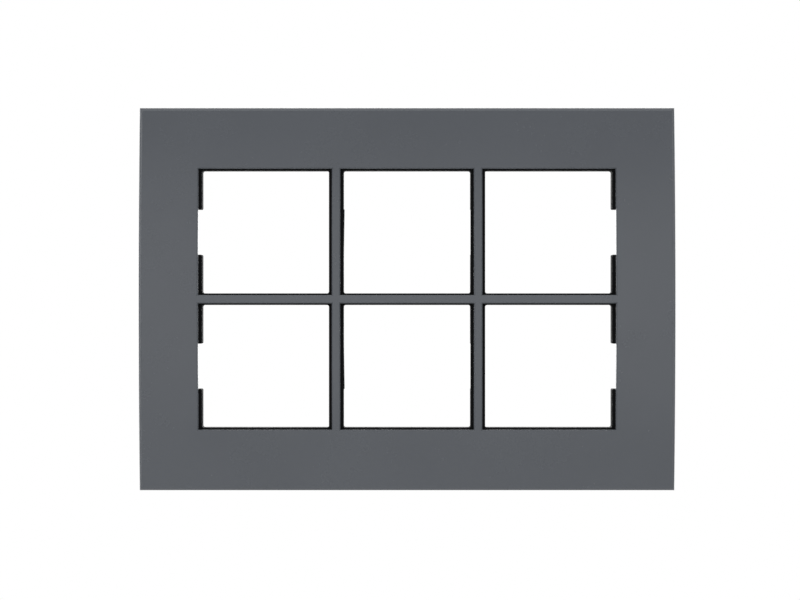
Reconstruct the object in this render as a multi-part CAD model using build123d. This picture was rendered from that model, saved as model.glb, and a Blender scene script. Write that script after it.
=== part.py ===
from build123d import *
import os
from math import sqrt

# A wall plate for six pairs of switch modules: a crowned cover clipped on a support frame.
# X runs to the right and Z up, the wall is the plane Y = 0 and the face looks along -Y.
# Depths are measured from the wall towards the face. Lengths are millimetres.

# Windows of the cover
columns = 3
rows = 2
window_width = 48.2
window_height = 45.6
window_bevel = 0.4
bar_width = 3.0

# Cover plate
side_border = 21.5
end_border = 22.1
edge_depth = 6.3
crown_rise = 4.2
face_wall = 2.2
rim_wall = 2.0
rim_draft = 0.7
edge_radius = 1.2
skirt_wall = 1.4
rib_wall = 1.2
pry_notch_width = 8.0
pry_notch_depth = 1.2

# Support frame
side_ledge = 1.15
end_ledge = 0.6
opening_corner_radius = 0.7
opening_edge_chamfer = 0.25
flange_thickness = 2.5
flange_corner_radius = 1.0
collar_wall = 1.6
collar_corner_radius = 1.2
channel_wall = 1.4
channel_roof = 1.5
latch_height = 16.4
latch_depth = 3.2
latch_corner_radius = 0.5
spring_slot = 0.6
nose_rise = 0.25
fixing_slot_length = 8.0
fixing_slot_width = 4.2
fixing_inset = 11.8
fixing_pad_margin = 2.2
fixing_pad_height = 1.0
relief_depth = 1.1
relief_lip = 1.6

# Snap hooks
hook_width = 8.0
hook_thickness = 1.4
hook_inset = 10.0
hook_barb = 0.8
hook_land = 0.25
catch_thickness = 1.0

# Clearances
wall_clearance = 0.2
flange_clearance = 0.4
skirt_clearance = 0.3
collar_clearance = 0.3
hook_clearance = 0.15
rib_clearance = 0.6

# The cover's outline and crown
column_pitch = window_width + bar_width
row_pitch = window_height + bar_width
plate_width = columns * column_pitch - bar_width + 2 * side_border
plate_height = rows * row_pitch - bar_width + 2 * end_border
plate_depth = edge_depth + crown_rise
crown_radius = ((plate_height / 2) ** 2 + crown_rise**2) / (2 * crown_rise)

# The frame's openings and the collar round them
opening_width = window_width - 2 * side_ledge
opening_height = window_height - 2 * end_ledge
field_width = (columns - 1) * column_pitch + opening_width
field_height = (rows - 1) * row_pitch + opening_height
column_bar = column_pitch - opening_width
row_bar = row_pitch - opening_height
collar_width = field_width + 2 * collar_wall
collar_height = field_height + 2 * collar_wall

# The frame's flange, which fills the cover's rim
flange_width = plate_width - 2 * (rim_wall + flange_clearance)
flange_height = plate_height - 2 * (rim_wall + flange_clearance)


# How deep the face lies at a height, or a surface that lies behind it
def face_depth(height, inset):
    return plate_depth - crown_radius + sqrt((crown_radius - inset) ** 2 - height**2)


# The collar ends just under the face, where the crown is lowest above it
collar_depth = face_depth(collar_height / 2, face_wall) - collar_clearance

# The inside of a hook's arm, and the depth at which its barb holds
hook_height = plate_height / 2 - hook_inset - hook_thickness
catch_depth = flange_thickness - catch_thickness
catch_width = hook_width + 4 * hook_clearance
catch_edge = hook_height - hook_clearance
slot_end = hook_height + hook_thickness + hook_barb + hook_clearance
pocket_end = hook_height - hook_barb - 2 * hook_clearance

window_places = GridLocations(column_pitch, row_pitch, columns, rows)
column_bar_places = GridLocations(column_pitch, row_pitch, columns - 1, 1)
row_bar_places = GridLocations(column_pitch, row_pitch, 1, rows - 1)
row_places = GridLocations(column_pitch, row_pitch, 1, rows)
hook_places = GridLocations(column_pitch, row_pitch, columns, 1)
gap_places = GridLocations(field_width, row_pitch, 2, rows)
pocket_places = GridLocations(column_pitch, row_pitch, columns - 1, rows)
fixing_places = GridLocations(plate_width - 2 * fixing_inset, row_pitch, 2, rows)

# Each window latches on one side: the outer columns at their outer side, the inner ones at their left side
inner_windows = [place for place in window_places if abs(place.position.X) < (columns - 2) * column_pitch / 2]
last_bar_places = [place for place in pocket_places if place.position.X > (columns - 3) * column_pitch / 2]


# An outline seen from the front, raised from one depth to another
def raised(outline, start, end):
    return extrude(Plane.XZ.offset(start) * outline, end - start)


# One outline at each of several places
def patterned(places, outline):
    return Sketch() + [place * outline for place in places]


# One outline at each hook, above and below the windows
def at_hooks(outline):
    top_row = patterned(hook_places, outline)
    return top_row + mirror(top_row, about=Plane.XZ)


# One outline at each inner window, upright above the plate's middle and mirrored below it
def at_inner_windows(outline):
    mirrored = mirror(outline, about=Plane.XZ)
    return [place * (outline if place.position.Y > 0 else mirrored) for place in inner_windows]


# The crowned, slightly tapered block of the plate, with its sides and face moved inwards
def crowned_block(side_inset, face_inset):
    outline = Rectangle(plate_width - 2 * side_inset, plate_height - 2 * side_inset)
    block = extrude(Plane.XZ.offset(wall_clearance) * outline, plate_depth, taper=rim_draft)
    crown = Rot(0, 90, 0) * Cylinder(crown_radius - face_inset, 2 * plate_width)
    return block & (Pos(0, crown_radius - plate_depth, 0) * crown)


# The thin shell of the cover: rounded round the face, crisp at the corners, open towards the wall
def cover_shell():
    outside = crowned_block(0, 0)
    face = outside.faces().sort_by(Axis.Y)[0]
    outside = fillet(face.edges(), edge_radius)
    pry_notch = Box(pry_notch_width, 2 * pry_notch_depth, 4 * rim_wall)
    pry_notch = Pos(0, -wall_clearance, plate_height / 2) * pry_notch
    return outside - crowned_block(rim_wall, face_wall) - pry_notch - mirror(pry_notch, Plane.XY)


# The skirt that goes round the frame's collar and seats on its flange, open beside the latch gaps
def skirt():
    inner_width = collar_width + 2 * skirt_clearance
    inner_height = collar_height + 2 * skirt_clearance
    inner_radius = collar_corner_radius + skirt_clearance
    inner = RectangleRounded(inner_width, inner_height, inner_radius)
    outer = offset(inner, skirt_wall)
    gap = Rectangle(plate_width, latch_height + 2 * skirt_clearance)
    return raised(outer - inner - patterned(row_places, gap), flange_thickness, plate_depth)


# Ribs behind the bars that seat on the frame's bars, and their run across the borders to the rim
def ribs():
    lines = patterned(column_bar_places, Rectangle(rib_wall, plate_height))
    lines += patterned(row_bar_places, Rectangle(plate_width, rib_wall))
    skirt_reach = 2 * (skirt_clearance + skirt_wall / 2)
    inside_skirt = Rectangle(collar_width + skirt_reach, collar_height + skirt_reach)
    bar_ribs = raised(lines & inside_skirt, collar_depth, plate_depth)
    return bar_ribs + raised(lines - inside_skirt, flange_thickness + rib_clearance, plate_depth)


# Snap hooks above and below each column; the barb points towards the windows
def hooks():
    barb_depth = catch_depth - hook_clearance
    tip_depth = barb_depth - hook_land - hook_barb
    profile = Polyline(
        (-plate_depth, hook_height),
        (-barb_depth, hook_height),
        (-barb_depth, hook_height - hook_barb),
        (hook_land - barb_depth, hook_height - hook_barb),
        (-tip_depth, hook_height),
        (-tip_depth, hook_height + hook_thickness),
        (-plate_depth, hook_height + hook_thickness),
        close=True,
    )
    hook = extrude(Plane.YZ * make_face(profile), hook_width / 2, both=True)
    top_row = Part() + [Pos(place.position.X, 0, 0) * hook for place in hook_places]
    return top_row + mirror(top_row, Plane.XY)


# A window's slanting side edges, turned about the crown's axis so that they follow it
def side_bevels():
    inner = window_width / 2 - window_bevel
    outer = window_width / 2 + plate_depth
    section = Polyline(
        (-inner, 2 * window_bevel - plate_depth),
        (inner, 2 * window_bevel - plate_depth),
        (outer, window_bevel - 2 * plate_depth),
        (-outer, window_bevel - 2 * plate_depth),
        close=True,
    )
    return revolve(make_face(section), Axis((0, crown_radius - plate_depth, 0), (1, 0, 0)))


# A row's slanting upper and lower window edges, each at the depth that the face has there
def end_bevels(row_height):
    low = row_height - window_height / 2
    high = row_height + window_height / 2
    low_depth = face_depth(low, window_bevel)
    high_depth = face_depth(high, window_bevel)
    section = Polyline(
        (window_bevel - low_depth, low + window_bevel),
        (window_bevel - high_depth, high - window_bevel),
        (-high_depth - plate_depth, high + plate_depth),
        (-low_depth - plate_depth, low - plate_depth),
        close=True,
    )
    return extrude(Plane.YZ * make_face(section), plate_width / 2, both=True)


# What a window's bevelled front edges take away
def window_mouth(place):
    return Pos(place.position.X, 0, 0) * side_bevels() & end_bevels(place.position.Y)


# The cover in one piece, with the windows cut last
def cover_plate():
    behind_face = crowned_block(rim_wall / 2, face_wall / 2)
    cover = cover_shell() + ((skirt() + ribs() + hooks()) & behind_face)
    window = Rectangle(window_width, window_height)
    cover -= raised(patterned(window_places, window), edge_depth - face_wall, 2 * plate_depth)
    for place in window_places:
        cover -= window_mouth(place)
    return cover


# The frame's openings, with latch gaps at the plate's sides and a sprung wall with a nose in each inner window
def openings():
    opening = RectangleRounded(opening_width, opening_height, opening_corner_radius)
    gap = RectangleRounded(2 * latch_depth, latch_height, latch_corner_radius)
    outline = patterned(window_places, opening) + patterned(gap_places, gap)
    outline = fillet(outline.vertices().filter_by(is_tab_corner), latch_corner_radius)
    slot_centre = -opening_width / 2 - channel_wall - spring_slot / 2
    slot = Pos(slot_centre, 0) * Rectangle(spring_slot, latch_height)
    return outline + at_inner_windows(slot) - at_inner_windows(latch_nose())


# The nose on a window's left side: flush at its lower end, rising to a step at its upper end
def latch_nose():
    side = -opening_width / 2
    outline = Polyline(
        (side, -latch_height / 2),
        (side + nose_rise, latch_height / 2),
        (side, latch_height / 2),
        close=True,
    )
    return make_face(outline)


# Where the straight outer side of an opening ends at a latch gap
def is_tab_corner(corner):
    on_side = abs(abs(corner.X) - field_width / 2) < opening_corner_radius / 10
    heights = [place.position.Y + sign * latch_height / 2 for place in row_places for sign in (-1, 1)]
    at_gap = min(abs(corner.Y - height) for height in heights) < opening_corner_radius / 10
    return on_side and at_gap


# Hollows behind the bars, and the pockets in their sides for the fixed ends of what is latched in
def bar_hollows():
    hollow = patterned(column_bar_places, Rectangle(column_bar - 2 * channel_wall, field_height))
    hollow += patterned(row_bar_places, Rectangle(field_width, row_bar - 2 * channel_wall))
    pocket_width = column_bar / 2 + side_ledge
    pocket = Rectangle(pocket_width, latch_height)
    hollow += patterned(pocket_places, Pos(-pocket_width / 2, 0) * pocket)
    hollow += patterned(last_bar_places, Pos(pocket_width / 2, 0) * pocket)
    return raised(hollow, 0, collar_depth - channel_roof)


# A band from one height to another, as wide as a hook's catch and a margin
def catch_band(low, high, margin):
    band = Rectangle(catch_width + 2 * margin, high - low + 2 * margin)
    return Pos(0, (low + high) / 2) * band


# Slots that the hooks pass through, with a pocket at the back for each barb
def hook_catches():
    slot = catch_band(catch_edge, slot_end, 0)
    pocket = catch_band(pocket_end, catch_edge, 0)
    return raised(at_hooks(slot), 0, flange_thickness) + raised(at_hooks(pocket), 0, catch_depth)


# An elongated hole's outline, or its pad's, at each fixing place
def at_fixings(margin):
    outline = SlotOverall(fixing_slot_length + 2 * margin, fixing_slot_width + 2 * margin)
    return patterned(fixing_places, outline)


# Shallow hollows in the flange's back, with ribs between them and lips round all that passes through
def back_relief():
    hollow = Rectangle(flange_width - 2 * relief_lip, flange_height - 2 * relief_lip)
    hollow -= Rectangle(collar_width + 2 * relief_lip, collar_height + 2 * relief_lip)
    upright_rib = Rectangle(relief_lip, flange_height)
    level_rib = Rectangle(flange_width, relief_lip)
    hollow -= patterned(column_bar_places, upright_rib) + patterned(row_bar_places, level_rib)
    hollow -= patterned(GridLocations(collar_width, row_pitch, 2, 1), upright_rib)
    hollow -= patterned(GridLocations(column_pitch, collar_height, 1, 2), level_rib)
    gap_lip = Rectangle(2 * (latch_depth + relief_lip), latch_height + 2 * relief_lip)
    hollow -= patterned(gap_places, gap_lip)
    hollow -= at_fixings(fixing_pad_margin)
    hollow -= at_hooks(catch_band(pocket_end, slot_end, relief_lip))
    return raised(hollow, 0, relief_depth)


# The frame in one piece: collar and bars, flange, fixing slots on raised pads
def support_frame():
    opening = openings()
    collar = RectangleRounded(collar_width, collar_height, collar_corner_radius) - opening
    frame = raised(collar, 0, collar_depth)
    front = frame.faces().sort_by(Axis.Y)[0]
    frame = chamfer(front.edges(), opening_edge_chamfer)
    flange = RectangleRounded(flange_width, flange_height, flange_corner_radius) - opening
    frame += raised(flange, 0, flange_thickness)
    pad_depth = flange_thickness + fixing_pad_height
    frame += raised(at_fixings(fixing_pad_margin), 0, pad_depth)
    frame -= raised(at_fixings(0), 0, pad_depth)
    return frame - bar_hollows() - hook_catches() - back_relief()


os.makedirs("parts", exist_ok=True)
export_step(cover_plate(), "parts/cover_plate.step")
export_step(support_frame(), "parts/support_frame.step")
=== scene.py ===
import math

import bpy
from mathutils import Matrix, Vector

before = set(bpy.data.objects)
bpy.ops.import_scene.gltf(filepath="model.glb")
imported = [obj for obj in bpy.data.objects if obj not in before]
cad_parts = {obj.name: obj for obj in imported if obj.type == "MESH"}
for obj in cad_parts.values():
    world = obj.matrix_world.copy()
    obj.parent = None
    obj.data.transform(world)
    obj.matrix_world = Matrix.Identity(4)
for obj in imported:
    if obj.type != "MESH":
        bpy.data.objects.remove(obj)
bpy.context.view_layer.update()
print("plate loaded:", ", ".join(sorted(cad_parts)))


# one socket of a node tree; sums on it add the Math nodes
class Wire:
    def __init__(self, tree, socket=None):
        self.tree = tree
        self.socket = socket

    # any node: its type, its settings, then what its sockets take
    def node(self, kind, settings, inputs, out=0):
        made = self.tree.nodes.new(kind)
        for name, value in settings.items():
            setattr(made, name, value)
        for name, value in inputs.items():
            if isinstance(value, Wire):
                self.tree.links.new(value.socket, made.inputs[name])
            else:
                made.inputs[name].default_value = value
        return Wire(self.tree, made.outputs[out])

    def math(self, operation, *values):
        return self.node("ShaderNodeMath", {"operation": operation}, dict(enumerate(values)))

    def __add__(self, other):
        return self.math("ADD", self, other)

    def __sub__(self, other):
        return self.math("SUBTRACT", self, other)

    def __rsub__(self, other):
        return self.math("SUBTRACT", other, self)

    def __mul__(self, other):
        return self.math("MULTIPLY", self, other)

    __radd__ = __add__
    __rmul__ = __mul__

    # 0 below low, 1 above high, smooth between
    def step(self, low, high):
        inputs = {"Value": self, "From Min": low, "From Max": high}
        return self.node("ShaderNodeMapRange", {"interpolation_type": "SMOOTHSTEP"}, inputs)

    def noise(self, scale, detail, roughness):
        inputs = {"Vector": self, "Scale": scale, "Detail": detail, "Roughness": roughness}
        return self.node("ShaderNodeTexNoise", {"noise_dimensions": "3D"}, inputs)


# a new material with its Principled shader, and the Object coordinates
def startMaterial(name):
    material = bpy.data.materials.new(name)
    material.use_nodes = True
    shader = material.node_tree.nodes["Principled BSDF"]
    place = Wire(material.node_tree).node("ShaderNodeTexCoord", {}, {}, "Object")
    return material, shader, place


def plug(wire, shader, socket):
    wire.tree.links.new(wire.socket, shader.inputs[socket])


# two colours mixed by a value; 0, 6 and 7 are the sockets for factor and colours
def mixColours(factor, first, second):
    return factor.node("ShaderNodeMix", {"data_type": "RGBA"}, {0: factor, 6: first, 7: second}, 2)


# a moulded grain, as deep as height in metres
def addGrain(shader, grain, height):
    inputs = {"Strength": 1, "Distance": height, "Height": grain}
    plug(grain.node("ShaderNodeBump", {}, inputs), shader, "Normal")


# camera, straight in front of the plate
cameraSetup = {
    "lens": 100.1,           # mm
    "sensor": 36,            # mm
    "place": (-0.00255, -0.8103, -0.0003),
}


def addCamera(setup):
    data = bpy.data.cameras.new("photoCamera")
    data.sensor_fit = "HORIZONTAL"
    data.sensor_width = setup["sensor"]
    data.lens = setup["lens"]
    camera = bpy.data.objects.new("photoCamera", data)
    camera.location = setup["place"]
    camera.rotation_euler = (math.radians(90), 0, 0)
    bpy.context.scene.collection.objects.link(camera)
    bpy.context.scene.camera = camera


addCamera(cameraSetup)
print("camera set")


# the cover: satin grey with a fine grain
# a noise has its scale per metre, detail and roughness
greyPlastic = {
    "colour": (0.086, 0.0942, 0.1078, 1),
    "paleColour": (0.0925, 0.1012, 0.1155, 1),
    "roughness": 0.23,
    "patchRoughness": 0.04,
    "driftNoise": (22, 3, 0.55),
    "driftRange": (0.3, 0.7),
    "driftShare": 0.7,       # of the pale colour
    "patchNoise": (60, 4, 0.6),
    "patchRange": (0.4, 0.75),
    "speckNoise": (750, 2, 0.6),
    "speckShare": 0.3,
    "grainNoise": (2300, 3, 0.65),
    "grainHeight": 0.000006,
}


def makeGreyPlastic(setup):
    material, shader, place = startMaterial("greyPlastic")
    drift = place.noise(*setup["driftNoise"]).step(*setup["driftRange"])
    patches = place.noise(*setup["patchNoise"]).step(*setup["patchRange"])
    speck = place.noise(*setup["speckNoise"])
    pale = drift * setup["driftShare"] + speck * setup["speckShare"]
    plug(mixColours(pale, setup["colour"], setup["paleColour"]), shader, "Base Color")
    plug(setup["roughness"] + (patches + speck) * setup["patchRoughness"], shader, "Roughness")
    addGrain(shader, place.noise(*setup["grainNoise"]), setup["grainHeight"])
    return material


# the frame: matt black, coarser grain
blackPlastic = {
    "colour": (0.0028, 0.0031, 0.0037, 1),
    "paleColour": (0.0046, 0.005, 0.0058, 1),
    "roughness": 0.62,
    "driftRoughness": 0.1,
    "grainRoughness": 0.06,
    "specular": 0.13,
    "driftNoise": (24, 4, 0.6),
    "driftRange": (0.3, 0.7),
    "driftShare": 0.6,
    "grainNoise": (1500, 3, 0.6),
    "grainShare": 0.4,
    "grainHeight": 0.000008,
}


def makeBlackPlastic(setup):
    material, shader, place = startMaterial("blackPlastic")
    drift = place.noise(*setup["driftNoise"]).step(*setup["driftRange"])
    grain = place.noise(*setup["grainNoise"])
    pale = drift * setup["driftShare"] + grain * setup["grainShare"]
    plug(mixColours(pale, setup["colour"], setup["paleColour"]), shader, "Base Color")
    uneven = drift * setup["driftRoughness"] + grain * setup["grainRoughness"]
    plug(setup["roughness"] + uneven, shader, "Roughness")
    shader.inputs["Specular IOR Level"].default_value = setup["specular"]
    addGrain(shader, grain, setup["grainHeight"])
    return material


finishes = {
    "cover_plate": makeGreyPlastic(greyPlastic),
    "support_frame": makeBlackPlastic(blackPlastic),
}
for name, material in finishes.items():
    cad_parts[name].material_slots[0].material = material
print("finishes on:", ", ".join(finishes))


# softboxes: place, what they point at, width and height, watts
softboxes = {
    "frontBox": {"place": (0, -1.5, 0), "aim": (0, 0, 0), "size": (1.4, 0.7), "power": 2.28},
    "leftBox": {"place": (-0.95, -0.75, 0.1), "aim": (0, 0, 0), "size": (0.5, 0.9), "power": 2.9},
    "rightBox": {"place": (0.95, -0.75, 0.1), "aim": (0, 0, 0), "size": (0.5, 0.9), "power": 1.9},
    "topBox": {"place": (0, -0.45, 1), "aim": (0, 0, 0), "size": (1.2, 1), "power": 4.3},
    "backLeftBox": {"place": (-0.85, 0.6, 0.25), "aim": (0, 0, 0.1), "size": (1, 1.1), "power": 5.5},
    "backRightBox": {"place": (0.85, 0.6, 0.25), "aim": (0, 0, 0.1), "size": (1, 1.1), "power": 4.5},
    "backBox": {"place": (0, 1.4, 0.35), "aim": (0, 0, 0.1), "size": (1.4, 0.9), "power": 10},
}


def addSoftbox(name, setup):
    data = bpy.data.lights.new(name, "AREA")
    data.shape = "RECTANGLE"
    data.size, data.size_y = setup["size"]
    data.energy = setup["power"]
    lamp = bpy.data.objects.new(name, data)
    lamp.location = setup["place"]
    toAim = Vector(setup["aim"]) - Vector(setup["place"])
    lamp.rotation_euler = toAim.to_track_quat("-Z", "Y").to_euler()
    lamp.visible_camera = False
    bpy.context.scene.collection.objects.link(lamp)


# surround: white where the camera looks, dimmer as a light on the plate
surround = {
    "colour": (1, 1, 1, 1),
    "light": 0.4,
}


def makeSurround(setup):
    world = bpy.data.worlds.new("studioWhite")
    world.use_nodes = True
    bpy.context.scene.world = world
    background = world.node_tree.nodes["Background"]
    background.inputs["Color"].default_value = setup["colour"]
    seen = Wire(world.node_tree).node("ShaderNodeLightPath", {}, {}, "Is Camera Ray")
    plug(setup["light"] + seen * (1 - setup["light"]), background, "Strength")


# floor: a pale disc that fades out towards its edge
paleFloor = {
    "level": -0.25,
    "radius": 0.95,
    "corners": 128,
    "colour": (0.82, 0.82, 0.81, 1),
    "roughness": 0.75,
    "patchRoughness": 0.1,
    "patchNoise": (40, 3, 0.5),
    "fade": (0.55, 0.98),    # metres from the plate's middle
}


def addFloor(setup):
    bpy.ops.object.select_all(action="DESELECT")
    bpy.ops.mesh.primitive_circle_add(
        vertices=setup["corners"],
        radius=setup["radius"],
        fill_type="NGON",
        location=(0, 0, setup["level"]),
    )
    floor = bpy.context.object
    floor.name = "paleFloor"
    bpy.ops.object.transform_apply(location=True, rotation=True, scale=True)
    material, shader, place = startMaterial("paleFloor")
    shader.inputs["Base Color"].default_value = setup["colour"]
    patches = place.noise(*setup["patchNoise"])
    plug(setup["roughness"] + patches * setup["patchRoughness"], shader, "Roughness")
    reach = place.node("ShaderNodeVectorMath", {"operation": "LENGTH"}, {0: place}, "Value")
    plug(1 - reach.step(*setup["fade"]), shader, "Alpha")
    floor.data.materials.append(material)


for name, setup in softboxes.items():
    addSoftbox(name, setup)
makeSurround(surround)
addFloor(paleFloor)
view = bpy.context.scene.view_settings
view.view_transform = "Standard"
view.look = "None"
print("studio lit")
